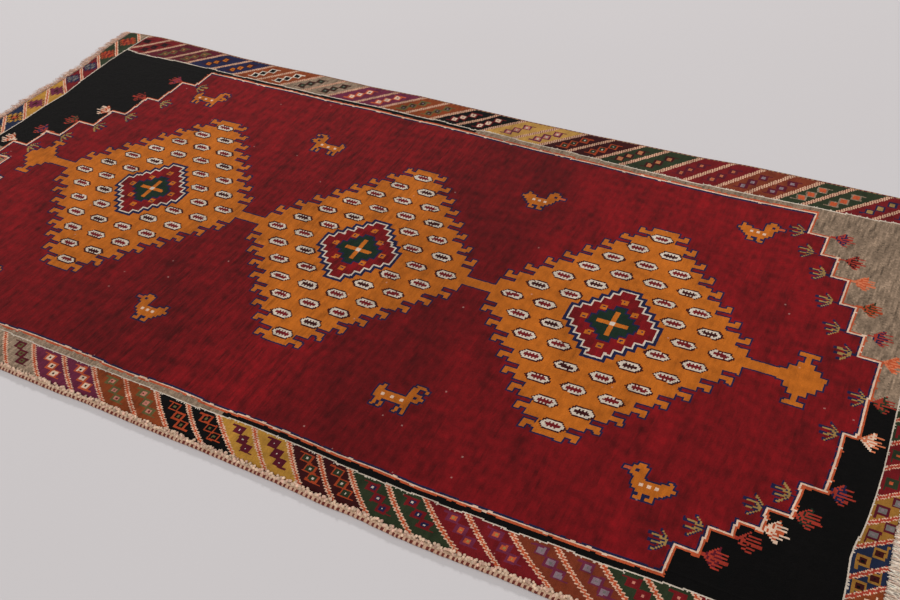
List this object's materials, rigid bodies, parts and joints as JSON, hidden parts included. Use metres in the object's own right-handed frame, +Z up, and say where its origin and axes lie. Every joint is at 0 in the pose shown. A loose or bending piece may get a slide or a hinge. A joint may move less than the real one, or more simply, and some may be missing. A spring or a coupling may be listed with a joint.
{
  "type": "gabbeh rug",
  "caption": "Flat hand-knotted wool rug with stepped ends, diagonal-band borders, corded long sides and a short fringe at each end.",
  "frame": {"origin": "on the floor under the middle of the rug's box", "axes": "+X along the rug's length, +Y across it towards the side that is far from the camera in the picture, +Z up out of the pile"},
  "size_m": [2.3828, 1.218, 0.0094],
  "materials": {
    "wool_pile": "sheared wool pile, matt, madder red",
    "warp_ends_left": "loose fuzzy wool yarn, tan",
    "warp_ends_right": "loose fluffy wool yarn, cream"
  },
  "bodies": {
    "root": {"rug": "wool_pile", "fringe_left": "warp_ends_left", "fringe_right": "warp_ends_right"}
  },
  "joints": []
}
